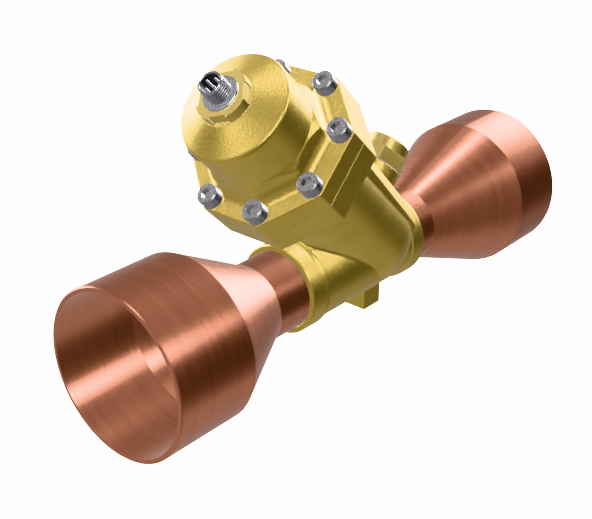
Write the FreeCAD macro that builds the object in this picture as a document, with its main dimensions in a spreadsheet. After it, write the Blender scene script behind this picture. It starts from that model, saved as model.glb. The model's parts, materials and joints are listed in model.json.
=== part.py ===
"""Motor driven expansion valve: a brass Y body between two copper reducers.

The pipe axis is X, the bonnet axis leans back over the inlet in the XZ plane.
Lengths are millimetres. The origin is the centre of the inlet socket mouth.
"""
import FreeCAD, Part
import math
import os
import Sketcher

Vector = FreeCAD.Vector
Rotation = FreeCAD.Rotation
Placement = FreeCAD.Placement

SIZES = {
    # copper reducers, sockets for 3 1/8 inch pipe at both ends
    "socket_bore_radius": 39.75,
    "socket_wall": 2.45,
    "neck_outer_radius": 20.6,
    "neck_wall": 1.8,
    "inlet_socket_length": 45.2,
    "inlet_cone_length": 41.8,
    "inlet_neck_length": 20.8,
    "outlet_neck_length": 14.0,
    "outlet_cone_length": 56.8,
    "outlet_socket_length": 35.5,
    "braze_depth": 12.0,
    "braze_gap": 0.05,
    "lip_chamfer": 0.5,
    # brass body casting
    "body_length": 92.7,
    "boss_radius": 23.6,
    "inlet_boss_length": 11.0,
    "outlet_boss_length": 9.5,
    "boss_edge_round": 0.8,
    "ridge_radius": 24.2,
    "ridge_width": 2.0,
    "ridge_rise": 0.8,
    "branch_radius": 22.3,
    "barrel_radius": 28.0,
    "bonnet_angle": 45.0,
    "crossing_depth": 101.5,
    "crossing_from_outlet": 18.4,
    "dome_depth": 88.5,
    "casting_fillet": 1.6,
    "pad_top_radius": 31.4,
    "pad_end_radius": 28.9,
    "pad_half_width": 24.1,
    "pad_length": 98.0,
    "pad_foot_fillet": 3.0,
    "pad_edge_round": 2.0,
    "lug_width": 13.5,
    "lug_depth": 20.0,
    "lug_centre": 173.0,
    "lug_bottom": 32.0,
    "passage_radius": 17.0,
    "chamber_radius": 24.8,
    "chamber_top": 50.0,
    "web_thickness": 8.0,
    "web_depth": 78.0,
    "orifice_radius": 14.5,
    "orifice_reach": 13.0,
    # flange pair
    "flange_corner_radius": 43.75,
    "flange_corner_round": 2.0,
    "flange_edge_round": 0.8,
    "joint_edge_round": 0.4,
    "body_flange_thickness": 14.4,
    "bonnet_flange_thickness": 10.7,
    "bolt_count": 8,
    "bolt_edge_distance": 6.35,
    "bolt_radius": 3.0,
    "bolt_length": 20.0,
    "bolt_head_radius": 5.3,
    "bolt_head_height": 6.1,
    "bolt_socket_width": 5.0,
    "bolt_socket_depth": 3.0,
    "bolt_edge_chamfer": 0.6,
    "bolt_hole_gap": 0.3,
    "thread_gap": 0.04,
    "bolt_hole_spare": 1.0,
    "spotface_radius": 6.3,
    # bonnet casting
    "cap_radius": 27.9,
    "cap_shoulder_height": 44.2,
    "cap_top_height": 50.3,
    "cap_land_radius": 13.8,
    "cap_edge_round": 2.0,
    "hip_half_width": 28.4,
    "hip_height": 22.5,
    "hip_corner_round": 4.0,
    "hip_fillet": 5.8,
    "stator_bore_radius": 24.2,
    "ledge_height": 36.0,
    "wire_room_radius": 19.0,
    "wire_room_height": 41.5,
    # connector on the bonnet
    "ring_nut_radius": 13.1,
    "ring_nut_height": 5.1,
    "ring_nut_notches": 4,
    "ring_nut_notch_width": 8.6,
    "ring_nut_notch_depth": 1.9,
    "ring_nut_turn": 24.0,
    "connector_shank_radius": 8.0,
    "connector_collar_radius": 8.8,
    "connector_collar_height": 0.9,
    "connector_thread_radius": 6.0,
    "connector_thread_length": 8.8,
    "connector_wall": 0.9,
    "connector_floor": 10.0,
    "connector_pin_radius": 0.5,
    "connector_pin_circle": 3.0,
    "connector_pin_count": 4,
    "connector_pin_stand": 9.4,
    "connector_pin_turn": -17.6,
    "connector_shank_length": 8.0,
    "connector_seal_height": 1.4,
    "connector_seal_depth": 1.0,
    "fit_gap": 0.05,
    # motor
    "can_radius": 16.0,
    "can_wall": 0.6,
    "stator_gap": 0.1,
    "stator_plate": 2.2,
    "coil_gap": 0.2,
    "magnet_radius": 14.8,
    "magnet_start": 7.0,
    "shaft_collar_radius": 6.5,
    "end_play": 0.1,
    "magnet_length": 24.0,
    "shaft_radius": 4.0,
    "shaft_chamfer": 0.5,
    "bush_radius": 7.0,
    "bush_length": 5.0,
    "upper_bush_length": 3.0,
    "running_gap": 0.05,
    # carrier that closes the pressure side under the motor
    "carrier_bolt_room": 4.4,
    "carrier_thickness": 5.0,
    "carrier_hub_length": 9.0,
    "carrier_hub_wall": 3.0,
    "carrier_spigot_height": 3.0,
    "gasket_thickness": 1.0,
    # slide, cage and seat
    "slide_radius": 19.5,
    "slide_length": 32.0,
    "slide_wall": 3.0,
    "slide_floor": 4.0,
    "slide_stroke": 17.2,
    "screw_room": 1.0,
    "seat_gap": 0.3,
    "seat_ring_radius": 18.0,
    "seat_ring_height": 6.0,
    "seat_ring_sink": 4.0,
    "seal_thickness": 2.5,
    "seal_inner_radius": 13.0,
    "seal_outer_radius": 18.4,
    "slide_ring_width": 3.0,
    "slide_ring_depth": 2.0,
    "slide_ring_drop": 4.0,
    "drive_nut_radius": 9.0,
    "drive_nut_length": 8.0,
    "balance_hole_radius": 2.5,
    "balance_hole_circle": 8.0,
    "balance_hole_count": 4,
    "cage_wall": 2.0,
    "cage_window_count": 6,
    "cage_window_width": 15.0,
    "cage_window_height": 16.0,
    "guide_pin_radius": 2.0,
    "guide_pin_circle": 13.0,
    "guide_pin_count": 2,
    "guide_pin_seat": 4.0,
    "drive_nut_flange_radius": 10.5,
    "drive_nut_flange_height": 2.0,
    # sight glass
    "sight_depth": 75.0,
    "sight_neck_radius": 13.1,
    "sight_seal_height": 33.5,
    "sight_seal_thickness": 0.5,
    "sight_hex_width": 25.5,
    "sight_hex_height": 7.6,
    "sight_crown_radius": 11.9,
    "sight_crown_height": 6.6,
    "sight_thread_radius": 9.0,
    "sight_thread_length": 7.0,
    "sight_bore_radius": 6.5,
    "sight_ledge": 1.5,
    "sight_hex_turn": 30.0,
    "sight_seal_radius": 12.4,
    "sight_lens_radius": 9.4,
    "sight_lens_thickness": 6.0,
    "sight_lens_recess": 1.6,
    "sight_edge_chamfer": 0.6,
}

os.makedirs("parts", exist_ok=True)
doc = FreeCAD.newDocument("expansion_valve")
sheet = doc.addObject("Spreadsheet::Sheet", "Dims")
for row, (alias, value) in enumerate(SIZES.items(), start=1):
    sheet.set("A%d" % row, alias)
    sheet.set("B%d" % row, str(value))
    sheet.setAlias("B%d" % row, alias)
doc.recompute()


class Size:
    """A length with the spreadsheet formula that gives it."""

    def __init__(self, number, formula):
        self.number = number
        self.formula = formula

    def joined(self, other, sign, number, swap=False):
        formula = other.formula if isinstance(other, Size) else repr(other)
        first, second = (formula, self.formula) if swap else (self.formula, formula)
        return Size(number, "(%s %s %s)" % (first, sign, second))

    def __add__(self, other):
        return self.joined(other, "+", self.number + plain(other))

    def __radd__(self, other):
        return self.joined(other, "+", plain(other) + self.number, swap=True)

    def __sub__(self, other):
        return self.joined(other, "-", self.number - plain(other))

    def __rsub__(self, other):
        return self.joined(other, "-", plain(other) - self.number, swap=True)

    def __mul__(self, other):
        return self.joined(other, "*", self.number * plain(other))

    def __rmul__(self, other):
        return self.joined(other, "*", plain(other) * self.number, swap=True)

    def __truediv__(self, other):
        return self.joined(other, "/", self.number / plain(other))

    def __neg__(self):
        return Size(-self.number, "(0 - %s)" % self.formula)


def plain(value):
    """The number of a Size, or a number as it is."""
    return value.number if isinstance(value, Size) else value


class Dimensions:
    """The spreadsheet's cells as Sizes, by alias."""

    def __getattr__(self, alias):
        return Size(float(sheet.get(alias)), "Dims." + alias)


dims = Dimensions()
ZERO = Size(0.0, "0")
TOLERANCE = 1e-6


def bind(thing, **sizes):
    """Ties properties of an object to spreadsheet formulas."""
    for name, size in sizes.items():
        if isinstance(size, Size):
            thing.setExpression(name, size.formula)
        else:
            setattr(thing, name, size)
    return thing


# Places of the three axes, and the sizes that the flange gives to what is inside it
INLET_FACE = dims.inlet_socket_length + dims.inlet_cone_length + dims.inlet_neck_length
OUTLET_FACE = INLET_FACE + dims.body_length
LEAN = plain(dims.bonnet_angle)
BONNET_UP = Rotation(Vector(0, 1, 0), -LEAN).multVec(Vector(0, 0, 1))
SIDE_UP = Rotation(Vector(0, 1, 0), 90 - LEAN).multVec(Vector(0, 0, 1))
CROSSING = Vector(plain(OUTLET_FACE - dims.crossing_from_outlet), 0, 0)
JOINT_CENTRE = CROSSING + BONNET_UP * plain(dims.crossing_depth)
BOLT_CIRCLE = dims.flange_corner_radius - dims.bolt_edge_distance
CARRIER_RADIUS = BOLT_CIRCLE - dims.bolt_radius - dims.carrier_bolt_room


def on_bonnet(height=0.0):
    """Local Z is the bonnet axis, counted up from the flange joint."""
    base = JOINT_CENTRE + BONNET_UP * plain(height)
    return Placement(base, Rotation(Vector(0, 1, 0), -LEAN))


def on_pipe(station=0.0):
    """Local Z is the flow direction, counted from the inlet mouth."""
    return Placement(Vector(plain(station), 0, 0), Rotation(Vector(0, 1, 0), 90))


def on_sight_glass(height=0.0):
    """Local Z is the sight glass axis, square to the bonnet axis."""
    base = JOINT_CENTRE - BONNET_UP * plain(dims.sight_depth) + SIDE_UP * plain(height)
    return Placement(base, Rotation(Vector(0, 1, 0), 90 - LEAN))


def origin_plane(body, role):
    for feature in body.Origin.OriginFeatures:
        if feature.Role == role:
            return feature


def sketch_on(body, role, name, support=None):
    sketch = body.newObject("Sketcher::SketchObject", name)
    sketch.AttachmentSupport = support or [(origin_plane(body, role), "")]
    sketch.MapMode = "FlatFace"
    return sketch


def closed_outline(sketch, points):
    """Draws a closed outline and ties both coordinates of each corner."""
    count = len(points)
    places = [Vector(plain(across), plain(along), 0) for across, along in points]
    for index in range(count):
        line = Part.LineSegment(places[index], places[(index + 1) % count])
        sketch.addGeometry(line, False)
    for index in range(count):
        sketch.addConstraint(Sketcher.Constraint("Coincident", index, 2, (index + 1) % count, 1))
    for index, corner in enumerate(points):
        for kind, size in zip(("DistanceX", "DistanceY"), corner):
            tie_coordinate(sketch, index, kind, size)


def tie_coordinate(sketch, index, kind, size):
    number = sketch.addConstraint(Sketcher.Constraint(kind, -1, 1, index, 1, plain(size)))
    if isinstance(size, Size):
        sketch.setExpression("Constraints[%d]" % number, size.formula)


def new_body(label, placement):
    body = doc.addObject("PartDesign::Body", label)
    body.Label = label
    body.Placement = placement
    return body


def turned(label, outline, placement):
    """A piece turned about its local Z, from corners given as (radius, height)."""
    body = new_body(label, placement)
    sketch = sketch_on(body, "XZ_Plane", label + "_profile")
    closed_outline(sketch, outline)
    turn = body.newObject("PartDesign::Revolution", label + "_turn")
    turn.Profile = sketch
    turn.ReferenceAxis = (sketch, ["V_Axis"])
    turn.Angle = 360
    sketch.Visibility = False
    doc.recompute()
    return body


def ring(label, inner, outer, low, high, placement):
    return turned(label, [(inner, low), (outer, low), (outer, high), (inner, high)], placement)


def pocket(body, name, height, depth, outline=None, circle=None):
    """Cuts downward from a plane at the given local height."""
    sketch = sketch_on(body, "XY_Plane", name + "_sketch")
    sketch.AttachmentOffset = Placement(Vector(0, 0, plain(height)), Rotation())
    if isinstance(height, Size):
        sketch.setExpression("AttachmentOffset.Base.z", height.formula)
    if circle:
        draw_circle(sketch, *circle)
    else:
        closed_outline(sketch, outline)
    doc.recompute()
    before = body.Shape.Volume
    cut = body.newObject("PartDesign::Pocket", name)
    cut.Profile = sketch
    cut.Type = "Length"
    bind(cut, Length=depth)
    doc.recompute()
    if body.Shape.Volume >= before:
        raise RuntimeError(name + " cuts nothing")
    return cut


def draw_circle(sketch, across, along, radius):
    centre = Vector(plain(across), plain(along), 0)
    sketch.addGeometry(Part.Circle(centre, Vector(0, 0, 1), plain(radius)), False)
    for kind, size in (("DistanceX", across), ("DistanceY", along)):
        number = sketch.addConstraint(Sketcher.Constraint(kind, -1, 1, 0, 3, plain(size)))
        if isinstance(size, Size):
            sketch.setExpression("Constraints[%d]" % number, size.formula)
    number = sketch.addConstraint(Sketcher.Constraint("Radius", 0, plain(radius)))
    sketch.setExpression("Constraints[%d]" % number, radius.formula)


def around_axis(body, name, feature, count):
    """Repeats a cut evenly about the local Z axis."""
    pattern = body.newObject("PartDesign::PolarPattern", name)
    pattern.Originals = [feature]
    pattern.Axis = (feature.Profile[0], ["N_Axis"])
    pattern.Angle = 360
    bind(pattern, Occurrences=count)
    body.Tip = pattern
    doc.recompute()
    return pattern


def regular_polygon(sides, across_flats, start_angle=0.0):
    """Corners of a polygon as formulas, from its width across the flats."""
    corner = 0.5 / math.cos(math.pi / sides)
    turns = [math.radians(start_angle) + 2 * math.pi * side / sides for side in range(sides)]
    return [(across_flats * (corner * math.cos(turn)), across_flats * (corner * math.sin(turn)))
            for turn in turns]


# Primitives for the castings

def cylinder(name, radius, height, placement):
    thing = bind(doc.addObject("Part::Cylinder", name), Radius=radius, Height=height)
    thing.Placement = placement
    return thing


def cone(name, bottom, top, height, placement):
    thing = bind(doc.addObject("Part::Cone", name), Radius1=bottom, Radius2=top, Height=height)
    thing.Placement = placement
    return thing


def prism(name, sides, corner_radius, height, placement):
    thing = doc.addObject("Part::Prism", name)
    thing.Polygon = sides
    bind(thing, Circumradius=corner_radius, Height=height)
    thing.Placement = placement
    return thing


def block(name, length, width, height, placement):
    thing = bind(doc.addObject("Part::Box", name), Length=length, Width=width, Height=height)
    thing.Placement = placement
    return thing


def fused(name, pieces):
    thing = doc.addObject("Part::MultiFuse", name)
    thing.Shapes = pieces
    thing.Refine = True
    return thing


def cut(name, base, tool):
    thing = doc.addObject("Part::Cut", name)
    thing.Base = base
    thing.Tool = tool
    thing.Refine = True
    return thing


def rounded(name, base, radius, chosen):
    """Rounds the edges of an object for which the test is true."""
    doc.recompute()
    thing = doc.addObject("Part::Fillet", name)
    thing.Base = base
    size = plain(radius)
    edges = [(number, size, size) for number, edge in enumerate(base.Shape.Edges, start=1)
             if chosen(base.Shape, edge)]
    if not edges:
        raise RuntimeError(name + " finds no edge")
    thing.Edges = edges
    doc.recompute()
    return thing


def local(point, placement):
    return placement.inverse().multVec(point)


def turned_by(placement, angle):
    return placement.multiply(Placement(Vector(), Rotation(Vector(0, 0, 1), angle)))


def heights(edge, place):
    """Local heights of the ends of an edge."""
    return [local(vertex.Point, place).z for vertex in edge.Vertexes]


def is_level(edge, place, height):
    return all(abs(end - plain(height)) < TOLERANCE for end in heights(edge, place))


def is_upright(edge, place):
    ends = heights(edge, place)
    return max(ends) - min(ends) > TOLERANCE


def radii_beside(shape, edge):
    """Radii of the cylinders that meet at an edge."""
    faces = shape.ancestorsOfType(edge, Part.Face)
    return sorted(round(face.Surface.Radius, 3) for face in faces
                  if isinstance(face.Surface, Part.Cylinder))


# Copper reducers

def copper_reducer(label, lengths, placement):
    """A pipe socket drawn down by a cone to the neck that is brazed into the body."""
    socket, taper, neck = lengths
    reach = socket + taper + neck + dims.braze_depth
    bore = dims.socket_bore_radius
    outside = bore + dims.socket_wall
    throat = dims.neck_outer_radius - dims.neck_wall
    outline = [
        (bore, ZERO),
        (outside - dims.lip_chamfer, ZERO),
        (outside, dims.lip_chamfer),
        (outside, socket),
        (dims.neck_outer_radius, socket + taper),
        (dims.neck_outer_radius, reach),
        (throat, reach),
        (throat, socket + taper),
        (bore, socket),
    ]
    return turned(label, outline, placement)


inlet_reducer = copper_reducer(
    "inlet_reducer",
    (dims.inlet_socket_length, dims.inlet_cone_length, dims.inlet_neck_length),
    on_pipe())
OUTLET_END = (OUTLET_FACE + dims.outlet_neck_length + dims.outlet_cone_length
              + dims.outlet_socket_length)
outlet_reducer = copper_reducer(
    "outlet_reducer",
    (dims.outlet_socket_length, dims.outlet_cone_length, dims.outlet_neck_length),
    Placement(Vector(plain(OUTLET_END), 0, 0), Rotation(Vector(0, 1, 0), -90)))


# Brass body casting

def flange_plate(name, low, thickness, top_round, bottom_round):
    """An eight sided plate about the bonnet axis with softened edges."""
    turn = 180.0 / plain(dims.bolt_count)
    place = turned_by(on_bonnet(low), turn)
    plate = prism(name, int(plain(dims.bolt_count)), dims.flange_corner_radius, thickness, place)
    plate = rounded(name + "_corners", plate, dims.flange_corner_round,
                    lambda shape, edge: is_upright(edge, place))
    plate = rounded(name + "_top", plate, top_round,
                    lambda shape, edge: is_level(edge, place, thickness))
    return rounded(name + "_bottom", plate, bottom_round,
                   lambda shape, edge: is_level(edge, place, ZERO))


def sight_pad():
    """The raised side of the barrel that carries the sight glass, flat on both flanks."""
    place = on_bonnet(-dims.pad_length)
    side = cone("pad_side", dims.pad_end_radius, dims.pad_top_radius, dims.pad_length, place)
    corner = Vector(0, -plain(dims.pad_half_width), 0)
    flanks = block("pad_flanks", dims.pad_top_radius, dims.pad_half_width * 2, dims.pad_length,
                   place.multiply(Placement(corner, Rotation())))
    pad = doc.addObject("Part::MultiCommon", "pad_form")
    pad.Shapes = [side, flanks]
    reach = dims.pad_top_radius * 2
    corner = Vector(plain(OUTLET_FACE - dims.outlet_boss_length), -plain(reach), -plain(reach))
    trim = block("outlet_trim", reach, reach * 2, reach * 2, Placement(corner, Rotation()))
    return cut("sight_pad", pad, trim)


def barrel_side():
    """The barrel with its round end and the sight glass pad blended in."""
    down = on_bonnet(-dims.dome_depth)
    barrel = cylinder("barrel", dims.barrel_radius, dims.dome_depth, down)
    dome = bind(doc.addObject("Part::Sphere", "barrel_end"), Radius=dims.barrel_radius)
    dome.Placement = down
    form = fused("barrel_form", [fused("barrel_round", [barrel, dome]), sight_pad()])

    def on_flank(other_kinds):
        def test(shape, edge):
            faces = shape.ancestorsOfType(edge, Part.Face)
            flats = [face for face in faces if isinstance(face.Surface, Part.Plane)
                     and abs(face.Surface.Axis.y) > 1 - TOLERANCE]
            return len(flats) == 1 and any(isinstance(face.Surface, other_kinds)
                                           for face in faces)
        return test

    form = rounded("pad_foot", form, dims.pad_foot_fillet, on_flank((Part.Cylinder, Part.Sphere)))
    return rounded("pad_edge", form, dims.pad_edge_round, on_flank(Part.Cone))


def pipe_boss(name, start, length, face):
    """A round boss with its edge softened at the face that takes the copper."""
    boss = cylinder(name + "_form", dims.boss_radius, length, on_pipe(start))
    return rounded(name, boss, dims.boss_edge_round,
                   lambda shape, edge: is_level(edge, on_pipe(), face))


def body_outside():
    """Barrel, branch, bosses, flange, sight glass neck and lug as one form."""
    branch = cylinder("branch", dims.branch_radius, dims.body_length, on_pipe(INLET_FACE))
    inlet_boss = pipe_boss("inlet_boss", INLET_FACE, dims.inlet_boss_length, INLET_FACE)
    outlet_boss = pipe_boss("outlet_boss", OUTLET_FACE - dims.outlet_boss_length,
                            dims.outlet_boss_length, OUTLET_FACE)
    ridge_start = INLET_FACE + dims.inlet_boss_length - dims.ridge_width
    lifted = Placement(Vector(0, 0, plain(dims.ridge_rise)), Rotation())
    ridge = cone("inlet_ridge", dims.boss_radius - dims.ridge_rise, dims.ridge_radius,
                 dims.ridge_width, lifted.multiply(on_pipe(ridge_start)))
    neck = cylinder("sight_neck", dims.sight_neck_radius, dims.sight_seal_height,
                    on_sight_glass())
    lug_corner = Vector(plain(dims.lug_centre - dims.lug_width / 2), plain(dims.lug_depth / -2),
                        plain(-dims.lug_bottom))
    lug = block("lug", dims.lug_width, dims.lug_depth, dims.lug_bottom,
                Placement(lug_corner, Rotation()))
    form = fused("body_form", [barrel_side(), branch])

    def crease(shape, edge):
        return radii_beside(shape, edge) == [plain(dims.branch_radius), plain(dims.barrel_radius)]

    form = rounded("body_crease", form, dims.casting_fillet, crease)
    flange = flange_plate("body_flange", -dims.body_flange_thickness,
                          dims.body_flange_thickness, dims.joint_edge_round,
                          dims.flange_edge_round)
    return fused("body_outside", [form, inlet_boss, ridge, outlet_boss, neck, lug, flange])


def above_plane(name, depth):
    """A block that fills all room above a plane square to the bonnet axis."""
    room = dims.crossing_depth * 2
    place = on_bonnet(-depth).multiply(
        Placement(Vector(-plain(room), -plain(room), 0), Rotation()))
    return block(name, room * 2, room * 2, room * 2, place)


def bolt_places():
    """Turns about the bonnet axis that carry a bolt, first one nearest the outlet side."""
    count = int(plain(dims.bolt_count))
    return [(index + 0.5) * 360.0 / count for index in range(count)]


def at_bolt(turn, height):
    across = Placement(Vector(plain(BOLT_CIRCLE), 0, 0), Rotation())
    return turned_by(on_bonnet(height), turn).multiply(across)


def body_hollows():
    """Every space inside the body casting, as one tool."""
    seat_depth = dims.carrier_thickness + dims.gasket_thickness
    cage_outside = dims.slide_radius + dims.running_gap + dims.cage_wall
    web_bottom = dims.web_depth + dims.web_thickness
    hollows = [
        cylinder("carrier_seat", CARRIER_RADIUS + dims.fit_gap, seat_depth,
                 on_bonnet(-seat_depth)),
        cylinder("cage_bore", cage_outside + dims.fit_gap, dims.chamber_top,
                 on_bonnet(-dims.chamber_top)),
        cylinder("chamber", dims.chamber_radius, dims.web_depth - dims.chamber_top,
                 on_bonnet(-dims.web_depth)),
        cylinder("seat_ring_seat", dims.seat_ring_radius + dims.fit_gap, dims.seat_ring_sink,
                 on_bonnet(-(dims.web_depth + dims.seat_ring_sink))),
        cylinder("orifice", dims.orifice_radius, dims.web_thickness + dims.orifice_reach,
                 on_bonnet(-(web_bottom + dims.orifice_reach))),
        cylinder("inlet_counterbore", dims.neck_outer_radius + dims.braze_gap, dims.braze_depth,
                 on_pipe(INLET_FACE)),
        cylinder("outlet_counterbore", dims.neck_outer_radius + dims.braze_gap,
                 dims.braze_depth * 2, on_pipe(OUTLET_FACE - dims.braze_depth)),
        cylinder("sight_thread", dims.sight_thread_radius + dims.thread_gap,
                 dims.sight_seal_height - dims.chamber_radius,
                 on_sight_glass(dims.chamber_radius + dims.sight_ledge)),
        cylinder("sight_bore", dims.sight_bore_radius, dims.sight_seal_height / 2,
                 on_sight_glass(dims.sight_seal_height / 2)),
    ]
    run = CROSSING.x - plain(INLET_FACE)
    inlet = cylinder("inlet_drill", dims.passage_radius, run, on_pipe(INLET_FACE))
    common = doc.addObject("Part::MultiCommon", "inlet_passage")
    common.Shapes = [inlet, above_plane("over_web", dims.web_depth)]
    outlet = cylinder("outlet_drill", dims.passage_radius,
                      dims.crossing_from_outlet + dims.passage_radius * 2,
                      on_pipe(CROSSING.x - plain(dims.passage_radius) * 2))
    hollows.append(common)
    hollows.append(cut("outlet_passage", outlet, above_plane("under_web", web_bottom)))
    depth = dims.bolt_length - dims.bonnet_flange_thickness + dims.bolt_hole_spare
    for index, turn in enumerate(bolt_places(), start=1):
        hollows.append(cylinder("tapped_hole_%d" % index, dims.bolt_radius + dims.thread_gap,
                                depth, at_bolt(turn, -depth)))
    return fused("body_hollows", hollows)


valve_body = cut("valve_body", body_outside(), body_hollows())


# Bonnet casting with the motor room

def bonnet_outside():
    sides = int(plain(dims.bolt_count))
    plate = flange_plate("bonnet_flange", ZERO, dims.bonnet_flange_thickness,
                         dims.flange_edge_round, dims.joint_edge_round)
    corner = dims.hip_half_width * (1 / math.cos(math.pi / sides))
    place = turned_by(on_bonnet(), 180.0 / sides)
    hip = prism("bonnet_hip", sides, corner, dims.hip_height, place)
    hip = rounded("hip_corners", hip, dims.hip_corner_round,
                  lambda shape, edge: is_upright(edge, place))
    shoulder = cone("hip_shoulder", dims.flange_corner_radius, dims.cap_radius, dims.hip_height,
                    on_bonnet())
    sloped = doc.addObject("Part::MultiCommon", "sloped_hip")
    sloped.Shapes = [hip, shoulder]
    wall = cylinder("cap_wall", dims.cap_radius, dims.cap_shoulder_height, on_bonnet())
    crown = cone("cap_crown", dims.cap_radius, dims.cap_land_radius,
                 dims.cap_top_height - dims.cap_shoulder_height,
                 on_bonnet(dims.cap_shoulder_height))
    form = fused("bonnet_form", [plate, sloped, wall, crown])

    def hip_foot(shape, edge):
        points = [local(vertex.Point, on_bonnet()) for vertex in edge.Vertexes]
        inside = all(math.hypot(point.x, point.y) < plain(BOLT_CIRCLE) for point in points)
        return inside and is_level(edge, on_bonnet(), dims.bonnet_flange_thickness)

    form = rounded("bonnet_hip_foot", form, dims.hip_fillet, hip_foot)
    return rounded("bonnet_rim", form, dims.cap_edge_round,
                   lambda shape, edge: is_level(edge, on_bonnet(), dims.cap_shoulder_height))


def bonnet_hollows():
    hollows = [
        cylinder("stator_bore", dims.stator_bore_radius, dims.ledge_height, on_bonnet()),
        cylinder("wire_room", dims.wire_room_radius, dims.wire_room_height, on_bonnet()),
        cylinder("connector_hole", dims.connector_shank_radius + dims.fit_gap,
                 dims.cap_top_height, on_bonnet()),
    ]
    for index, turn in enumerate(bolt_places(), start=1):
        hollows.append(cylinder("clear_hole_%d" % index, dims.bolt_radius + dims.bolt_hole_gap,
                                dims.hip_height, at_bolt(turn, ZERO)))
        hollows.append(cylinder("spotface_%d" % index, dims.spotface_radius,
                                dims.hip_height, at_bolt(turn, dims.bonnet_flange_thickness)))
    return fused("bonnet_hollows", hollows)


bonnet = cut("bonnet", bonnet_outside(), bonnet_hollows())


# Flange bolts

def flange_bolt(label, placement):
    """A socket head screw, local Z zero under the head."""
    radius = dims.bolt_radius
    head = dims.bolt_head_radius
    edge = dims.bolt_edge_chamfer
    body = turned(label, [
        (ZERO, -dims.bolt_length),
        (radius - edge, -dims.bolt_length),
        (radius, edge - dims.bolt_length),
        (radius, ZERO),
        (head, ZERO),
        (head, dims.bolt_head_height - edge),
        (head - edge, dims.bolt_head_height),
        (ZERO, dims.bolt_head_height),
    ], placement)
    pocket(body, label + "_socket", dims.bolt_head_height,
           outline=regular_polygon(6, dims.bolt_socket_width), depth=dims.bolt_socket_depth)
    return body


bolts = [flange_bolt("flange_bolt_%d" % index, at_bolt(turn, dims.bonnet_flange_thickness))
         for index, turn in enumerate(bolt_places(), start=1)]


# Connector on top of the bonnet

def ring_nut():
    body = ring("ring_nut", dims.connector_collar_radius + dims.fit_gap, dims.ring_nut_radius,
                ZERO, dims.ring_nut_height,
                turned_by(on_bonnet(dims.cap_top_height), plain(dims.ring_nut_turn)))
    near = dims.ring_nut_radius - dims.ring_nut_notch_depth
    far = dims.ring_nut_radius + dims.ring_nut_notch_depth
    half = dims.ring_nut_notch_width / 2
    notch = pocket(body, "ring_nut_notch", dims.ring_nut_height,
                   outline=[(near, -half), (far, -half), (far, half), (near, half)],
                   depth=dims.ring_nut_height)
    around_axis(body, "ring_nut_notches", notch, dims.ring_nut_notches)
    return body


def connector_parts():
    """Threaded shell, plastic insert, contacts and seal of the round plug connector."""
    land = dims.cap_top_height
    low = land - dims.connector_shank_length
    collar_top = land + dims.ring_nut_height + dims.connector_collar_height
    top = collar_top + dims.connector_thread_length
    shank = dims.connector_shank_radius
    thread = dims.connector_thread_radius
    bore = thread - dims.connector_wall
    groove = shank - dims.connector_seal_depth
    seal_low = land - dims.connector_seal_height * 2
    seal_high = seal_low + dims.connector_seal_height
    edge = dims.lip_chamfer
    shell = turned("connector_shell", [
        (bore, low),
        (shank, low),
        (shank, seal_low),
        (groove, seal_low),
        (groove, seal_high),
        (shank, seal_high),
        (shank, land),
        (dims.connector_collar_radius, land),
        (dims.connector_collar_radius, collar_top),
        (thread, collar_top),
        (thread, top - edge),
        (thread - edge, top),
        (bore, top),
    ], on_bonnet())
    seal = ring("connector_seal", groove + dims.fit_gap, shank, seal_low, seal_high, on_bonnet())
    face = top - dims.connector_floor
    pin_turn = plain(dims.connector_pin_turn)
    insert = turned("connector_insert", [
        (ZERO, low),
        (bore - dims.fit_gap, low),
        (bore - dims.fit_gap, face),
        (ZERO, face),
    ], turned_by(on_bonnet(), pin_turn))
    hole = pocket(insert, "contact_hole", face,
                  circle=(dims.connector_pin_circle, ZERO, dims.connector_pin_radius),
                  depth=face - low)
    around_axis(insert, "contact_holes", hole, dims.connector_pin_count)
    pins = []
    for index in range(int(plain(dims.connector_pin_count))):
        place = turned_by(on_bonnet(low), pin_turn + index * 360.0 / plain(dims.connector_pin_count))
        place = place.multiply(Placement(Vector(plain(dims.connector_pin_circle), 0, 0),
                                         Rotation()))
        pins.append(cylinder("contact_%d" % (index + 1), dims.connector_pin_radius,
                             face - low + dims.connector_pin_stand, place))
    contacts = doc.addObject("Part::Compound", "connector_contacts")
    contacts.Links = pins
    return [shell, seal, insert, contacts]


# Motor: two stator halves with their coils, the dry can and the rotor

def motor_parts():
    pieces = []
    stator_inside = dims.can_radius + dims.stator_gap
    stator_outside = dims.stator_bore_radius - dims.stator_gap
    half = dims.ledge_height / 2
    plate = dims.stator_plate
    for index, name in enumerate(("lower", "upper")):
        place = on_bonnet(half * float(index))
        pieces.append(turned("stator_" + name, [
            (stator_inside, ZERO),
            (stator_outside, ZERO),
            (stator_outside, half),
            (stator_inside, half),
            (stator_inside, half - plate),
            (stator_outside - plate, half - plate),
            (stator_outside - plate, plate),
            (stator_inside, plate),
        ], place))
        pieces.append(ring("coil_" + name, stator_inside + dims.coil_gap,
                           stator_outside - plate - dims.coil_gap, plate, half - plate, place))
    can_top = dims.ledge_height - dims.can_wall
    can_inside = dims.can_radius - dims.can_wall
    pieces.append(turned("motor_can", [
        (can_inside, ZERO),
        (dims.can_radius, ZERO),
        (dims.can_radius, can_top),
        (ZERO, can_top),
        (ZERO, can_top - dims.can_wall),
        (can_inside, can_top - dims.can_wall),
    ], on_bonnet()))
    bush_top = can_top - dims.can_wall
    bore = dims.shaft_radius + dims.running_gap
    pieces.append(ring("upper_bush", bore, can_inside - dims.fit_gap,
                       bush_top - dims.upper_bush_length, bush_top, on_bonnet()))
    hub_low = -(dims.carrier_thickness + dims.carrier_hub_length)
    pieces.append(ring("lower_bush", bore, dims.bush_radius, hub_low,
                       hub_low + dims.bush_length, on_bonnet()))
    return pieces


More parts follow.
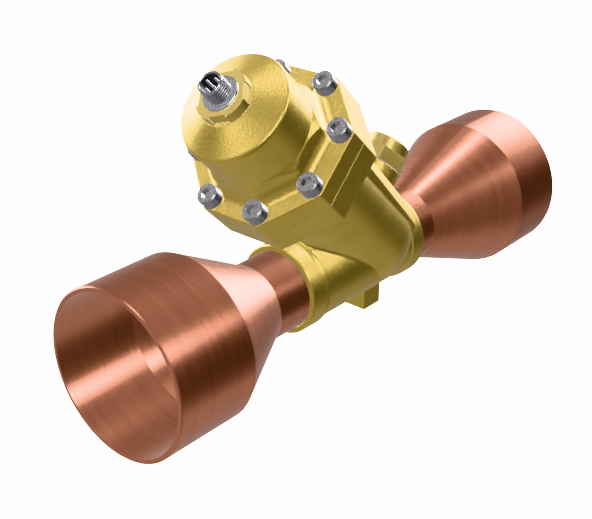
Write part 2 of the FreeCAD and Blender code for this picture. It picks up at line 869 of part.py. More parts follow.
def rotor_parts():
    start = dims.magnet_start
    stop = start + dims.magnet_length
    edge = dims.shaft_chamfer
    collar_low = dims.carrier_spigot_height + dims.end_play
    screw_end = slide_top_when_open() - dims.slide_length + dims.slide_floor + dims.screw_room
    radius = dims.shaft_radius
    shaft_top = dims.ledge_height - dims.can_wall * 2 - dims.screw_room
    shaft = turned("rotor_screw", [
        (ZERO, screw_end),
        (radius - edge, screw_end),
        (radius, screw_end + edge),
        (radius, collar_low),
        (dims.shaft_collar_radius, collar_low),
        (dims.shaft_collar_radius, start),
        (radius, start),
        (radius, shaft_top),
        (ZERO, shaft_top),
    ], on_bonnet())
    magnet = ring("rotor_magnet", radius + dims.fit_gap, dims.magnet_radius, start, stop,
                  on_bonnet())
    return [shaft, magnet]


# Carrier plate and gasket between the two castings

def carrier_parts():
    plate = dims.carrier_thickness
    hub_low = -(plate + dims.carrier_hub_length)
    hub = dims.bush_radius + dims.carrier_hub_wall
    spigot = dims.can_radius - dims.can_wall - dims.fit_gap
    bush_seat = dims.bush_radius + dims.fit_gap
    clear = dims.shaft_radius + dims.bolt_hole_gap
    carrier = turned("motor_carrier", [
        (bush_seat, hub_low),
        (hub, hub_low),
        (hub, -plate),
        (CARRIER_RADIUS, -plate),
        (CARRIER_RADIUS, ZERO),
        (spigot, ZERO),
        (spigot, dims.carrier_spigot_height),
        (clear, dims.carrier_spigot_height),
        (clear, hub_low + dims.bush_length),
        (bush_seat, hub_low + dims.bush_length),
    ], on_bonnet())
    hole = pocket(carrier, "guide_pin_hole", dims.guide_pin_seat - plate,
                  circle=(dims.guide_pin_circle, ZERO, dims.guide_pin_radius + dims.fit_gap),
                  depth=dims.guide_pin_seat + plate)
    around_axis(carrier, "guide_pin_holes", hole, dims.guide_pin_count)
    gasket = ring("flange_gasket", dims.slide_radius + dims.running_gap, CARRIER_RADIUS,
                  -(plate + dims.gasket_thickness), -plate, on_bonnet())
    return [carrier, gasket]


# Slide, its drive nut and seals, the cage and the seat ring

def slide_bottom():
    return (dims.seat_ring_height - dims.seat_ring_sink) + dims.seat_gap - dims.web_depth


def slide_top():
    return slide_bottom() + dims.slide_length


def slide_top_when_open():
    return slide_top() + dims.slide_stroke


def slide_parts():
    low = slide_bottom()
    high = slide_top()
    outside = dims.slide_radius
    inside = outside - dims.slide_wall
    floor = low + dims.slide_floor
    ceiling = high - dims.drive_nut_length
    nut_seat = dims.drive_nut_radius + dims.fit_gap
    groove_high = high - dims.slide_ring_drop
    groove_low = groove_high - dims.slide_ring_width
    groove = outside - dims.slide_ring_depth
    slide = turned("slide", [
        (ZERO, low),
        (dims.seal_inner_radius, low),
        (dims.seal_inner_radius, low + dims.seal_thickness),
        (dims.seal_outer_radius, low + dims.seal_thickness),
        (dims.seal_outer_radius, low),
        (outside, low),
        (outside, groove_low),
        (groove, groove_low),
        (groove, groove_high),
        (outside, groove_high),
        (outside, high),
        (nut_seat, high),
        (nut_seat, ceiling),
        (inside, ceiling),
        (inside, floor),
        (ZERO, floor),
    ], on_bonnet())
    pin_hole = pocket(slide, "pin_hole", high,
                      circle=(dims.guide_pin_circle, ZERO,
                              dims.guide_pin_radius + dims.running_gap),
                      depth=dims.drive_nut_length + dims.slide_floor)
    around_axis(slide, "pin_holes", pin_hole, dims.guide_pin_count)
    balance = pocket(slide, "balance_hole", floor,
                     circle=(dims.balance_hole_circle, ZERO, dims.balance_hole_radius),
                     depth=dims.slide_floor)
    around_axis(slide, "balance_holes", balance, dims.balance_hole_count)
    nut = turned("drive_nut", [
        (dims.shaft_radius + dims.running_gap, ceiling - dims.drive_nut_flange_height),
        (dims.drive_nut_flange_radius, ceiling - dims.drive_nut_flange_height),
        (dims.drive_nut_flange_radius, ceiling),
        (dims.drive_nut_radius, ceiling),
        (dims.drive_nut_radius, high),
        (dims.shaft_radius + dims.running_gap, high),
    ], on_bonnet())
    seal = ring("slide_seal", dims.seal_inner_radius + dims.fit_gap,
                dims.seal_outer_radius - dims.fit_gap, low, low + dims.seal_thickness,
                on_bonnet())
    piston_ring = ring("slide_ring", groove + dims.fit_gap, outside, groove_low, groove_high,
                       on_bonnet())
    return [slide, nut, seal, piston_ring]


def cage_parts():
    inside = dims.slide_radius + dims.running_gap
    outside = inside + dims.cage_wall
    low = -dims.web_depth
    high = -(dims.carrier_thickness + dims.gasket_thickness)
    cage = ring("flow_cage", inside, outside, low, high, on_bonnet())
    half = dims.cage_window_width / 2
    sill = slide_bottom() + dims.seat_ring_height / 2
    sketch = sketch_on(cage, "YZ_Plane", "cage_window_sketch")
    closed_outline(sketch, [
        (ZERO, sill),
        (half, sill + half / 2),
        (half, sill + dims.cage_window_height),
        (-half, sill + dims.cage_window_height),
        (-half, sill + half / 2),
    ])
    doc.recompute()
    before = cage.Shape.Volume
    window = cage.newObject("PartDesign::Pocket", "cage_window")
    window.Profile = sketch
    window.Type = "Length"
    window.Reversed = True
    bind(window, Length=outside + dims.cage_wall)
    doc.recompute()
    if cage.Shape.Volume >= before:
        raise RuntimeError("the cage window cuts nothing")
    pattern = cage.newObject("PartDesign::PolarPattern", "cage_windows")
    pattern.Originals = [window]
    pattern.Axis = (sketch, ["V_Axis"])
    pattern.Angle = 360
    bind(pattern, Occurrences=dims.cage_window_count)
    cage.Tip = pattern
    doc.recompute()
    seat_low = -(dims.web_depth + dims.seat_ring_sink)
    seat = ring("seat_ring", dims.orifice_radius, dims.seat_ring_radius, seat_low,
                seat_low + dims.seat_ring_height, on_bonnet())
    pins = []
    pin_top = dims.guide_pin_seat - dims.carrier_thickness
    pin_low = slide_top() - dims.drive_nut_length
    for index in range(int(plain(dims.guide_pin_count))):
        place = turned_by(on_bonnet(pin_low), index * 360.0 / plain(dims.guide_pin_count))
        place = place.multiply(Placement(Vector(plain(dims.guide_pin_circle), 0, 0), Rotation()))
        pins.append(cylinder("guide_pin_%d" % (index + 1), dims.guide_pin_radius,
                             pin_top - pin_low, place))
    return [cage, seat] + pins


# Sight glass

def sight_glass_parts():
    seat = dims.sight_seal_height
    seal_top = seat + dims.sight_seal_thickness
    hex_top = seal_top + dims.sight_hex_height
    top = hex_top + dims.sight_crown_height
    lens_top = top - dims.sight_lens_recess
    lens_low = lens_top - dims.sight_lens_thickness
    thread_low = seal_top - dims.sight_thread_length
    edge = dims.sight_edge_chamfer
    bore = dims.sight_bore_radius
    lens_seat = dims.sight_lens_radius + dims.fit_gap
    hexagon = new_body("sight_glass_body", on_sight_glass())
    sketch = sketch_on(hexagon, "XY_Plane", "sight_hex_sketch")
    sketch.AttachmentOffset = Placement(Vector(0, 0, plain(seal_top)), Rotation())
    sketch.setExpression("AttachmentOffset.Base.z", seal_top.formula)
    closed_outline(sketch, regular_polygon(6, dims.sight_hex_width, plain(dims.sight_hex_turn)))
    pad = hexagon.newObject("PartDesign::Pad", "sight_hex")
    pad.Profile = sketch
    bind(pad, Length=dims.sight_hex_height)
    doc.recompute()
    profile = sketch_on(hexagon, "XZ_Plane", "sight_turned_profile")
    closed_outline(profile, [
        (ZERO, thread_low),
        (dims.sight_thread_radius - edge, thread_low),
        (dims.sight_thread_radius, thread_low + edge),
        (dims.sight_thread_radius, seal_top),
        (dims.sight_crown_radius, seal_top),
        (dims.sight_crown_radius, top - edge),
        (dims.sight_crown_radius - edge, top),
        (ZERO, top),
    ])
    crown = hexagon.newObject("PartDesign::Revolution", "sight_crown")
    crown.Profile = profile
    crown.ReferenceAxis = (profile, ["V_Axis"])
    crown.Angle = 360
    doc.recompute()
    pocket(hexagon, "sight_lens_seat", top, circle=(ZERO, ZERO, lens_seat), depth=top - lens_low)
    pocket(hexagon, "sight_opening", lens_low, circle=(ZERO, ZERO, bore),
           depth=lens_low - thread_low)
    lens = turned("sight_glass_lens", [
        (ZERO, lens_low),
        (dims.sight_lens_radius, lens_low),
        (dims.sight_lens_radius, lens_top),
        (ZERO, lens_top),
    ], on_sight_glass())
    seal = ring("sight_glass_seal", dims.sight_thread_radius + dims.fit_gap,
                dims.sight_seal_radius, seat, seal_top, on_sight_glass())
    return [hexagon, lens, seal]


pieces = [valve_body, bonnet, inlet_reducer, outlet_reducer, ring_nut()]
pieces += bolts + connector_parts() + motor_parts() + rotor_parts() + carrier_parts()
pieces += slide_parts() + cage_parts() + sight_glass_parts()
doc.recompute()

for thing in doc.Objects:
    if "Invalid" in thing.State or "Error" in thing.State:
        raise RuntimeError("%s failed: %s" % (thing.Name, thing.State))
for piece in pieces:
    if piece.Shape.isNull() or not piece.Shape.isValid():
        raise RuntimeError(piece.Name + " has no valid shape")
for piece in pieces:
    piece.Shape.exportStep("parts/%s.step" % piece.Name)
    print(piece.Name, len(piece.Shape.Solids), round(piece.Shape.Volume, 1))
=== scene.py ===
import json
import math
import bmesh
import bpy
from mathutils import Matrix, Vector


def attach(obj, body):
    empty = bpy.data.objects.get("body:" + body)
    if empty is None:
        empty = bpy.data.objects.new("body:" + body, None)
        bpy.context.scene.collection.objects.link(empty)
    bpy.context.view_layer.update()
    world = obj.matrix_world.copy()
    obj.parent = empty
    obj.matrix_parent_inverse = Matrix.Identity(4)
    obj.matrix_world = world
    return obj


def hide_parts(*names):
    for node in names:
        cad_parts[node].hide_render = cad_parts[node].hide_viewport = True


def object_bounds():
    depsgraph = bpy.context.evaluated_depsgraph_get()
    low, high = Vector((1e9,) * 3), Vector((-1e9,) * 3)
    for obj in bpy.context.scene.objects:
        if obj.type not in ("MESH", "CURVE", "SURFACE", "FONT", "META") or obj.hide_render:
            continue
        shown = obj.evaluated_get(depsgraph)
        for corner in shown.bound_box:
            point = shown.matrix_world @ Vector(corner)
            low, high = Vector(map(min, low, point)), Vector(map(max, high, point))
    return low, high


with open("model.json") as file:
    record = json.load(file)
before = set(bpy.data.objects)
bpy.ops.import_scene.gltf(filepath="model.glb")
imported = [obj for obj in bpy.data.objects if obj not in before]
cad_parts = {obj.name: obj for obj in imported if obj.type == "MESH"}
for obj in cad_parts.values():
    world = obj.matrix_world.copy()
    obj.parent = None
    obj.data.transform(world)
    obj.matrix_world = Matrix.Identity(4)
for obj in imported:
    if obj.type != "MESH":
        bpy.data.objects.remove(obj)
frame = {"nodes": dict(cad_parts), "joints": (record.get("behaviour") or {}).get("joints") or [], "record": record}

cad_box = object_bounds()

MM = 0.001
DEPTH_AXIS = Vector((0, 1, 0))
UPRIGHT = Vector((0, 0, 1))

# The bonnet axis, from the record's lift joint, and the thread, from its connector mount
LIFT = next(joint for joint in frame["joints"] if joint["name"] == "slide_lift")
THREAD = next(mount for mount in frame["record"]["mounts"] if mount["name"] == "connector_thread")
BONNET_UP = Vector(LIFT["axis"]).normalized()
BONNET_SIDE = DEPTH_AXIS.cross(BONNET_UP)
THREAD_MIDDLE = Vector(THREAD["pos_m"])
THREAD_LENGTH = THREAD["dims"]["length_mm"] * MM
THREAD_RADIUS = THREAD["dims"]["r_mm"] * MM
THREAD_DEPTH = 0.5 * MM


# Materials

BEVEL_SAMPLES = 6


class Surface:
    """A Principled material with short calls for the nodes that feed it."""

    def __init__(self, name, color, metallic, roughness):
        self.material = bpy.data.materials.new(name)
        self.material.use_nodes = True
        self.nodes = self.material.node_tree.nodes
        self.links = self.material.node_tree.links
        self.shader = self.nodes["Principled BSDF"]
        self.normal = None
        self.set("Base Color", (*color, 1))
        self.set("Metallic", metallic)
        self.set("Roughness", roughness)

    def set(self, socket, value):
        self.shader.inputs[socket].default_value = value

    def place(self, scale=(1, 1, 1)):
        """Object coordinates, stretched."""
        coordinates = self.nodes.new("ShaderNodeTexCoord")
        mapping = self.nodes.new("ShaderNodeMapping")
        mapping.inputs["Scale"].default_value = scale
        self.links.new(coordinates.outputs["Object"], mapping.inputs["Vector"])
        return mapping.outputs["Vector"]

    def noise(self, scale, detail=3.0, roughness=0.5, at=None):
        made = self.nodes.new("ShaderNodeTexNoise")
        made.inputs["Scale"].default_value = scale
        made.inputs["Detail"].default_value = detail
        made.inputs["Roughness"].default_value = roughness
        self.links.new(at or self.place(), made.inputs["Vector"])
        return made.outputs["Fac"]

    def cells(self, scale):
        made = self.nodes.new("ShaderNodeTexVoronoi")
        made.inputs["Scale"].default_value = scale
        self.links.new(self.place(), made.inputs["Vector"])
        return made.outputs["Color"]

    def vector_math(self, operation, source, value=(0, 0, 0)):
        made = self.nodes.new("ShaderNodeVectorMath")
        made.operation = operation
        made.inputs[1].default_value = value
        self.links.new(source, made.inputs[0])
        return made

    def from_axis(self, point, axis):
        """Distance from an axis through a point."""
        offset = self.vector_math("SUBTRACT", self.place(), point).outputs["Vector"]
        across = self.vector_math("CROSS_PRODUCT", offset, axis).outputs["Vector"]
        return self.vector_math("LENGTH", across).outputs["Value"]

    def ranged(self, source, low, high, start=0.3, stop=0.7):
        made = self.nodes.new("ShaderNodeMapRange")
        made.inputs["From Min"].default_value = start
        made.inputs["From Max"].default_value = stop
        made.inputs["To Min"].default_value = low
        made.inputs["To Max"].default_value = high
        self.links.new(source, made.inputs["Value"])
        return made.outputs["Result"]

    def tint(self, source, low, high, start=0.35, stop=0.65):
        """The base colour goes from low to high with a source."""
        made = self.nodes.new("ShaderNodeValToRGB")
        first, last = made.color_ramp.elements
        first.position, first.color = start, (*low, 1)
        last.position, last.color = stop, (*high, 1)
        self.links.new(source, made.inputs["Fac"])
        self.links.new(made.outputs["Color"], self.shader.inputs["Base Color"])

    def rough(self, source):
        self.links.new(source, self.shader.inputs["Roughness"])

    def bump(self, height, strength, distance):
        made = self.nodes.new("ShaderNodeBump")
        made.inputs["Strength"].default_value = strength
        made.inputs["Distance"].default_value = distance
        self.links.new(height, made.inputs["Height"])
        self.bend(made)

    def edges(self, radius):
        """Corners catch the light as if they were rounded."""
        made = self.nodes.new("ShaderNodeBevel")
        made.samples = BEVEL_SAMPLES
        made.inputs["Radius"].default_value = radius
        self.bend(made)

    def bend(self, made):
        """Adds a node to the chain that ends in the shader's normal."""
        if self.normal:
            self.links.new(self.normal, made.inputs["Normal"])
        self.normal = made.outputs["Normal"]
        self.links.new(self.normal, self.shader.inputs["Normal"])


def shade(color, factor):
    return tuple(min(1.0, factor * channel) for channel in color)


CAST_BRASS = (0.97, 0.71, 0.21)
TURNED_BRASS = (0.97, 0.73, 0.26)
SINTERED_BRONZE = (0.72, 0.45, 0.22)
COPPER = (0.955, 0.41, 0.27)
ZINC = (0.55, 0.53, 0.55)
ZINC_DARK = (0.38, 0.37, 0.39)
ZINC_LIGHT = (0.66, 0.64, 0.67)
NICKEL = (0.62, 0.61, 0.65)
CONTACT_METAL = (0.74, 0.73, 0.76)
# Painted shade in the thread roots, as a share of the nickel colour
THREAD_ROOT_PAINTED_SHADE = 0.28


def cast_brass():
    surface = Surface("cast_brass", CAST_BRASS, 1.0, 0.33)
    surface.tint(surface.noise(70, 4), shade(CAST_BRASS, 0.94), shade(CAST_BRASS, 1.04))
    surface.rough(surface.ranged(surface.noise(500, 3), 0.29, 0.34))
    surface.edges(0.7 * MM)
    surface.bump(surface.noise(1100, 2, 0.6), 0.6, 0.25 * MM)
    surface.bump(surface.noise(130, 2, 0.5), 0.04, 0.5 * MM)
    return surface.material


def turned_brass(name, color):
    surface = Surface(name, color, 1.0, 0.32)
    surface.tint(surface.noise(120, 4), shade(color, 0.94), shade(color, 1.04))
    surface.rough(surface.ranged(surface.noise(900, 2), 0.31, 0.335))
    surface.edges(0.3 * MM)
    surface.bump(surface.noise(700, 2), 0.04, 0.1 * MM)
    return surface.material


def brushed_copper():
    surface = Surface("brushed_copper", COPPER, 1.0, 0.2)
    fine = surface.noise(1.0, 3, 0.6, at=surface.place((2200, 40, 40)))
    bands = surface.noise(1.0, 3, 0.6, at=surface.place((260, 12, 12)))
    surface.tint(bands, shade(COPPER, 0.95), shade(COPPER, 1.03))
    surface.rough(surface.ranged(fine, 0.17, 0.25))
    surface.bump(fine, 0.03, 0.06 * MM)
    return surface.material


def zinc_steel():
    surface = Surface("zinc_steel", ZINC, 1.0, 0.3)
    surface.tint(surface.cells(1700), ZINC_DARK, ZINC_LIGHT, 0.2, 0.8)
    surface.rough(surface.ranged(surface.noise(2200, 2), 0.22, 0.42))
    surface.bump(surface.noise(1500, 2), 0.3, 0.14 * MM)
    return surface.material


def plated(name, color):
    surface = Surface(name, color, 1.0, 0.2)
    surface.tint(surface.noise(600, 3), shade(color, 0.92), shade(color, 1.05))
    surface.rough(surface.ranged(surface.noise(1200, 3), 0.15, 0.28))
    surface.bump(surface.noise(900, 2), 0.05, 0.1 * MM)
    return surface.material


def nickel_with_painted_root_shade():
    """Nickel with painted shade: darker in the roots of the connector's thread."""
    surface = Surface("nickel_with_painted_root_shade", NICKEL, 1.0, 0.24)
    radius = surface.from_axis(THREAD_MIDDLE, BONNET_UP)
    # Painted shade: the colour goes from dark in the thread roots to plain nickel on the crests
    crest = surface.ranged(radius, 0, 1, THREAD_RADIUS - THREAD_DEPTH, THREAD_RADIUS)
    surface.tint(crest, shade(NICKEL, THREAD_ROOT_PAINTED_SHADE), NICKEL, 0.15, 0.75)
    surface.rough(surface.ranged(surface.noise(1200, 3), 0.2, 0.32))
    return surface.material


def stainless():
    surface = Surface("stainless", (0.60, 0.59, 0.58), 1.0, 0.28)
    surface.rough(surface.ranged(surface.noise(1500, 3), 0.22, 0.36))
    surface.bump(surface.noise(2400, 2), 0.08, 0.06 * MM)
    return surface.material


def dull(name, color, roughness, grain, strength):
    """A non metal with a fine grain."""
    surface = Surface(name, color, 0.0, roughness)
    surface.tint(surface.noise(grain / 4, 4), shade(color, 0.8), color)
    surface.rough(surface.ranged(surface.noise(grain, 3), roughness - 0.08, roughness + 0.08))
    surface.bump(surface.noise(grain, 3), strength, 0.1 * MM)
    return surface.material


def winding():
    surface = Surface("winding", (0.50, 0.22, 0.10), 0.8, 0.35)
    surface.rough(surface.ranged(surface.noise(700, 3), 0.28, 0.42))
    surface.bump(surface.noise(1400, 2), 0.3, 0.2 * MM)
    return surface.material


def lens_glass():
    surface = Surface("sight_glass", (0.92, 0.98, 0.96), 0.0, 0.03)
    surface.set("Transmission Weight", 1.0)
    surface.set("IOR", 1.5)
    surface.bump(surface.noise(120, 2), 0.02, 0.1 * MM)
    return surface.material


MATERIALS = {
    "cast_brass": cast_brass(),
    "turned_brass": turned_brass("turned_brass", TURNED_BRASS),
    "bronze": turned_brass("bronze", SINTERED_BRONZE),
    "copper": brushed_copper(),
    "zinc_steel": zinc_steel(),
    "nickel": plated("nickel", NICKEL),
    "connector_plastic": dull("connector_plastic", (0.006, 0.006, 0.007), 0.5, 1500, 0.1),
    "contact_gold": plated("contact_metal", CONTACT_METAL),
    "seal_rubber": dull("seal_rubber", (0.02, 0.02, 0.02), 0.6, 1200, 0.1),
    "gasket": dull("gasket", (0.16, 0.17, 0.15), 0.7, 900, 0.2),
    "ptfe": dull("ptfe", (0.80, 0.80, 0.77), 0.5, 900, 0.1),
    "stainless": stainless(),
    "stator_steel": dull("stator_steel", (0.14, 0.14, 0.15), 0.5, 900, 0.15),
    "winding": winding(),
    "magnet": dull("magnet", (0.05, 0.05, 0.055), 0.55, 1000, 0.15),
    "glass": lens_glass(),
}

for row in frame["record"]["subparts"]:
    thing = frame["nodes"][row["node"]]
    thing.data.materials.clear()
    thing.data.materials.append(MATERIALS[row["material_slot"]])


# Connector: its threaded shell, the insert and the contacts

# The pitch is the one in the photograph, and the flank's two values give it flat crests and roots
THREAD_PITCH = 1.4 * MM
FLANK_SLOPE = 1.3
FLANK_START = 0.15
TURN_STEPS = 96
ROWS_PER_PITCH = 12
SHELL_WALL = 0.9 * MM
OUTER_WALL = 0.9 * SHELL_WALL
SHANK_RADIUS = 8.0 * MM
SHANK_LENGTH = 8.0 * MM
COLLAR_RADIUS = 8.8 * MM
COLLAR_HEIGHT = 6.0 * MM
COLLAR_RINGS = 4
RING_DEPTH = 0.05 * MM
SMALL_EDGE = 0.25 * MM
TOP_EDGE = 0.5 * MM
TOP_LAND = 0.9 * MM
PIECE_STEPS = 60
INSERT_WALL = 0.35 * MM
INSERT_GAP = 0.05 * MM
INSERT_DEPTH = 10.0 * MM
INSERT_DROP = 0.6 * MM
PIN_RADIUS = 0.5 * MM
PIN_STAND = 9.4 * MM
PIN_COUNT = 4
PIN_CIRCLE = 3.0 * MM
PIN_TURN = math.radians(-17.6)
# A contact's rounded tip, in shares of its radius: how wide, and how far below the tip
PIN_TIP = ((1, 1), (0.87, 0.5), (0.5, 0.13))
CORNER_ANGLE = math.radians(40)

# Heights along the bonnet axis, from the middle of the thread
SHELL_TOP = THREAD_LENGTH / 2 + TOP_EDGE
THREAD_FOOT = -THREAD_LENGTH / 2
COLLAR_FOOT = THREAD_FOOT - COLLAR_HEIGHT
SHANK_FOOT = COLLAR_FOOT - SHANK_LENGTH
SHELL_BORE = THREAD_RADIUS - SHELL_WALL


def sideways(turn):
    """The direction away from the bonnet axis, at an angle round it."""
    return BONNET_SIDE * math.cos(turn) + DEPTH_AXIS * math.sin(turn)


def make_ring(form, middle, height, radii):
    """One vertex for each radius, evenly round the bonnet's direction."""
    return [form.verts.new(middle + BONNET_UP * height
                           + sideways(2 * math.pi * step / len(radii)) * radius)
            for step, radius in enumerate(radii)]


def join_rings(form, lower, upper):
    for step in range(len(lower)):
        after = (step + 1) % len(lower)
        form.faces.new((lower[step], lower[after], upper[after], upper[step]))


def finished(name, form, slot):
    """A smooth object with sharp corners, made of a form."""
    bmesh.ops.recalc_face_normals(form, faces=form.faces)
    mesh = bpy.data.meshes.new(name)
    form.to_mesh(mesh)
    form.free()
    mesh.shade_smooth()
    mesh.materials.append(MATERIALS[slot])
    piece = bpy.data.objects.new(name, mesh)
    bpy.context.scene.collection.objects.link(piece)
    corner = piece.modifiers.new("corners", "EDGE_SPLIT")
    corner.split_angle = CORNER_ANGLE
    return piece


def thread_wave(turns):
    """Depth of a thread flank, 0 on the crest and 1 in the root."""
    across = abs(2 * (turns % 1.0) - 1)
    return min(1.0, max(0.0, FLANK_SLOPE * across - FLANK_START))


def shell_rows():
    """Radius, height and thread depth of the shell, from its bore foot round to its bore top."""
    collar_edge = COLLAR_RADIUS - SMALL_EDGE
    rows = [
        (SHELL_BORE, SHANK_FOOT, 0),
        (SHANK_RADIUS, SHANK_FOOT, 0),
        (SHANK_RADIUS, COLLAR_FOOT, 0),
        (COLLAR_RADIUS, COLLAR_FOOT, 0),
        (COLLAR_RADIUS, THREAD_FOOT - SMALL_EDGE, 0),
        (collar_edge, THREAD_FOOT, 0),
    ]
    ring = (collar_edge - THREAD_RADIUS) / (2 * COLLAR_RINGS)
    for step in range(1, 2 * COLLAR_RINGS):
        rows.append((collar_edge - step * ring, THREAD_FOOT - step % 2 * RING_DEPTH, 0))
    thread_end = SHELL_TOP - TOP_LAND
    reach = thread_end - THREAD_FOOT
    count = int(ROWS_PER_PITCH * reach / THREAD_PITCH)
    for step in range(count + 1):
        rows.append((THREAD_RADIUS, THREAD_FOOT + reach * step / count, THREAD_DEPTH))
    return rows + [
        (THREAD_RADIUS, thread_end + SMALL_EDGE / 2, 0),
        (THREAD_RADIUS, SHELL_TOP - SMALL_EDGE, 0),
        (THREAD_RADIUS - SMALL_EDGE, SHELL_TOP, 0),
        (SHELL_BORE + SMALL_EDGE, SHELL_TOP, 0),
        (SHELL_BORE, SHELL_TOP - SMALL_EDGE, 0),
    ]


def on_thread(mesh, face):
    """Whether a face lies outside on the shell, between the collar and the plain end."""
    offsets = [mesh.vertices[index].co - THREAD_MIDDLE for index in face.vertices]
    heights = [offset.dot(BONNET_UP) for offset in offsets]
    radii = [offset.cross(BONNET_UP).length for offset in offsets]
    return (min(heights) > THREAD_FOOT - SMALL_EDGE / 2
            and max(heights) < THREAD_LENGTH / 2 - SMALL_EDGE
            and min(radii) > THREAD_RADIUS - OUTER_WALL)


def threaded_shell():
    form = bmesh.new()
    rings = []
    for radius, height, depth in shell_rows():
        radii = [radius - depth * thread_wave(height / THREAD_PITCH - step / TURN_STEPS)
                 for step in range(TURN_STEPS)]
        rings.append(make_ring(form, THREAD_MIDDLE, height, radii))
    for lower, upper in zip(rings, rings[1:] + rings[:1]):
        join_rings(form, lower, upper)
    shell = finished("threaded_shell", form, "nickel")
    # The thread's faces get the nickel with painted shade in its roots
    shell.data.materials.append(nickel_with_painted_root_shade())
    for face in shell.data.polygons:
        if on_thread(shell.data, face):
            face.material_index = 1
    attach(shell, "valve")
    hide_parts("connector_shell")
    return shell


def turned_piece(name, slot, node, outline, places):
    """A piece turned about the bonnet's direction at each place, that replaces a CAD node."""
    form = bmesh.new()
    for middle in places:
        rings = [make_ring(form, middle, height, [radius] * PIECE_STEPS)
                 for radius, height in outline]
        for lower, upper in zip(rings, rings[1:]):
            join_rings(form, lower, upper)
        form.faces.new(rings[0])
        form.faces.new(rings[-1])
    piece = finished(name, form, slot)
    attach(piece, "valve")
    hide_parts(node)
    return piece


def connector_inside():
    """The moulded insert, hollow above its floor, and the rounded contacts."""
    outside = SHELL_BORE - INSERT_GAP
    inside = SHELL_BORE - INSERT_WALL
    rim = SHELL_TOP - INSERT_DROP
    floor = SHELL_TOP - INSERT_DEPTH
    insert = turned_piece("moulded_insert", "connector_plastic", "connector_insert", [
        (outside, SHANK_FOOT),
        (outside, rim),
        (inside, rim),
        (inside, floor),
    ], [THREAD_MIDDLE])
    tip = floor + PIN_STAND
    outline = [(PIN_RADIUS, SHANK_FOOT)]
    outline += [(PIN_RADIUS * width, tip - PIN_RADIUS * drop) for width, drop in PIN_TIP]
    turns = [PIN_TURN + 2 * math.pi * index / PIN_COUNT for index in range(PIN_COUNT)]
    places = [THREAD_MIDDLE + sideways(turn) * PIN_CIRCLE for turn in turns]
    pins = turned_piece("round_contacts", "contact_gold", "connector_contacts", outline, places)
    return [insert, pins]


connector = [threaded_shell()] + connector_inside()

# The photograph's metals mirror only the studio, not each other, and leave no shadow
for thing in list(frame["nodes"].values()) + connector:
    thing.visible_glossy = False
    thing.visible_diffuse = False
    thing.visible_shadow = False


# Studio: floor, lights, sky and camera

CAMERA_AZIMUTH = -49.317
CAMERA_ELEVATION = 26.229
CAMERA_DISTANCE = 0.5824
CAMERA_TARGET = Vector((0.1215, 0.0, 0.0118))
PHOTO_WIDTH = 592
PHOTO_FOCAL_PIXELS = 1158.6
SENSOR_WIDTH = 36.0
NEAREST_SEEN = 0.01
FLOOR_REACH = 8.0
FLOOR_DROP = 0.02
FLOOR_PAINT = (0.86, 0.86, 0.86)
FLOOR_LAMP_ELEVATION = 89
FLOOR_LAMP_DISTANCE = 2.5
FLOOR_LAMP_SIZE = 4.0
FLOOR_LAMP_POWER = 700

# Soft lamps round the studio: azimuth, elevation, half width, half height, level, softness
LAMPS = {
    "left_window": (31, 31, 5.2, 7.1, 10.0, 1.0),
    "right_window": (96, 17, 19.1, 19.0, 12.5, 0.25),
    "overhead": (120, 77, 4.5, 5.6, 14.0, 0.77),
    "front_left": (-28, 39, 7.1, 6.1, 8.3, 0.94),
    "far_left": (-48, 26, 10.3, 10.9, 2.8, 0.16),
    "left_wall": (-105, 34, 7.5, 14.4, 2.4, 1.0),
    "back": (176, 14, 11.8, 14.9, 16.8, 1.0),
    "ceiling": (-175, 78, 28.5, 30.2, 0.30, 0.24),
}
# Dark screens: azimuth, elevation, half angle, share of the light they take
SCREENS = {
    "near_screen": (48, -8, 34, 0.80),
    "low_screen": (82, -29, 24, 0.35),
    "left_screen": (-17, -22, 53, 0.60),
}
# Light from below and above the horizon, and the height over which the two pass into each other
LOWER_LEVEL = 0.373
UPPER_LEVEL = 0.27
HORIZON_BLEND = 0.25
PLAIN_WHITE = 6.0


def outward(azimuth, elevation):
    """The direction from the object to a viewer."""
    turn = math.radians(azimuth)
    rise = math.radians(elevation)
    return Vector((math.sin(turn) * math.cos(rise), -math.cos(turn) * math.cos(rise),
                   math.sin(rise)))


def aimed(thing, azimuth, elevation, distance):
    """Puts a thing out from the camera's target and turns it to face it."""
    place = CAMERA_TARGET + outward(azimuth, elevation) * distance
    thing.location = place
    thing.rotation_euler = (CAMERA_TARGET - place).to_track_quat("-Z", "Y").to_euler()


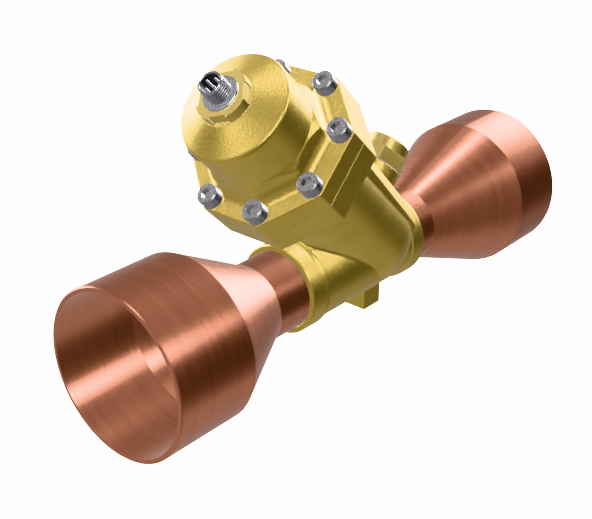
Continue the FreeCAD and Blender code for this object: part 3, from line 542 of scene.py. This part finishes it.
class Sky:
    """The studio's light by direction, built from math nodes."""

    def __init__(self):
        world = bpy.data.worlds.new("studio")
        bpy.context.scene.world = world
        world.use_nodes = True
        self.nodes = world.node_tree.nodes
        self.links = world.node_tree.links
        self.direction = self.nodes.new("ShaderNodeTexCoord").outputs["Generated"]

    def along(self, axis):
        made = self.nodes.new("ShaderNodeVectorMath")
        made.operation = "DOT_PRODUCT"
        self.links.new(self.direction, made.inputs[0])
        made.inputs[1].default_value = axis
        return made.outputs["Value"]

    def math(self, operation, first, second=0):
        made = self.nodes.new("ShaderNodeMath")
        made.operation = operation
        for socket, value in zip(made.inputs, (first, second)):
            if isinstance(value, (int, float)):
                socket.default_value = value
            else:
                self.links.new(value, socket)
        return made.outputs["Value"]

    def smooth(self, source, start, stop, low, high):
        made = self.nodes.new("ShaderNodeMapRange")
        made.interpolation_type = "SMOOTHSTEP"
        made.inputs["From Min"].default_value = start
        made.inputs["From Max"].default_value = stop
        made.inputs["To Min"].default_value = low
        made.inputs["To Max"].default_value = high
        self.links.new(source, made.inputs["Value"])
        return made.outputs["Result"]

    def square(self, axis, half_angle):
        """Square of how far out a direction lies along an axis, 1 at the half angle."""
        share = self.along(axis / math.sin(math.radians(half_angle)))
        return self.math("POWER", self.math("ABSOLUTE", share), 2)

    def lamp(self, azimuth, elevation, half_width, half_height, level, softness):
        """A soft oval panel of light."""
        centre = outward(azimuth, elevation)
        side = UPRIGHT.cross(centre).normalized()
        total = self.math("ADD", self.square(side, half_width),
                          self.square(centre.cross(side), half_height))
        radius = self.math("SQRT", total)
        panel = self.smooth(radius, 1 - softness, 1 + softness, level, 0)
        return self.math("MULTIPLY", panel, self.math("GREATER_THAN", self.along(centre), 0))

    def screen(self, azimuth, elevation, half_angle, share):
        facing = self.along(outward(azimuth, elevation))
        return self.smooth(facing, math.cos(math.radians(half_angle)), 1, 1, 1 - share)

    def finish(self, total):
        """The camera itself sees a plain white studio."""
        background = self.nodes["Background"]
        background.inputs["Color"].default_value = (1, 1, 1, 1)
        self.links.new(total, background.inputs["Strength"])
        plain = self.nodes.new("ShaderNodeBackground")
        plain.inputs["Strength"].default_value = PLAIN_WHITE
        chosen = self.nodes.new("ShaderNodeMixShader")
        path = self.nodes.new("ShaderNodeLightPath")
        self.links.new(path.outputs["Is Camera Ray"], chosen.inputs["Fac"])
        self.links.new(background.outputs["Background"], chosen.inputs[1])
        self.links.new(plain.outputs["Background"], chosen.inputs[2])
        self.links.new(chosen.outputs["Shader"], self.nodes["World Output"].inputs["Surface"])


def make_sky():
    sky = Sky()
    total = sky.smooth(sky.along(UPRIGHT), -HORIZON_BLEND, HORIZON_BLEND,
                       LOWER_LEVEL, UPPER_LEVEL)
    for values in SCREENS.values():
        total = sky.math("MULTIPLY", total, sky.screen(*values))
    for values in LAMPS.values():
        total = sky.math("ADD", total, sky.lamp(*values))
    sky.finish(total)


def make_camera():
    data = bpy.data.cameras.new("camera")
    data.sensor_width = SENSOR_WIDTH
    data.lens = PHOTO_FOCAL_PIXELS * SENSOR_WIDTH / PHOTO_WIDTH
    data.clip_start = NEAREST_SEEN
    camera = bpy.data.objects.new("camera", data)
    bpy.context.scene.collection.objects.link(camera)
    aimed(camera, CAMERA_AZIMUTH, CAMERA_ELEVATION, CAMERA_DISTANCE)
    bpy.context.scene.camera = camera


def make_floor():
    mesh = bpy.data.meshes.new("floor")
    corners = [(-FLOOR_REACH, -FLOOR_REACH, 0), (FLOOR_REACH, -FLOOR_REACH, 0),
               (FLOOR_REACH, FLOOR_REACH, 0), (-FLOOR_REACH, FLOOR_REACH, 0)]
    mesh.from_pydata(corners, [], [(0, 1, 2, 3)])
    floor = bpy.data.objects.new("floor", mesh)
    floor.location.z = cad_box[0][2] - FLOOR_DROP
    bpy.context.scene.collection.objects.link(floor)
    surface = Surface("floor_paint", FLOOR_PAINT, 0.0, 0.9)
    surface.rough(surface.ranged(surface.noise(3, 2), 0.85, 0.95))
    mesh.materials.append(surface.material)
    floor.visible_glossy = False


def make_floor_lamp():
    """A wide lamp that brightens the floor and leaves no mark in the metal."""
    data = bpy.data.lights.new("floor_lamp", "AREA")
    data.shape = "SQUARE"
    data.size = FLOOR_LAMP_SIZE
    data.energy = FLOOR_LAMP_POWER
    light = bpy.data.objects.new("floor_lamp", data)
    bpy.context.scene.collection.objects.link(light)
    aimed(light, 0, FLOOR_LAMP_ELEVATION, FLOOR_LAMP_DISTANCE)
    light.visible_glossy = False


make_camera()
make_floor()
make_sky()
make_floor_lamp()
bpy.context.scene.view_settings.view_transform = "Khronos PBR Neutral"
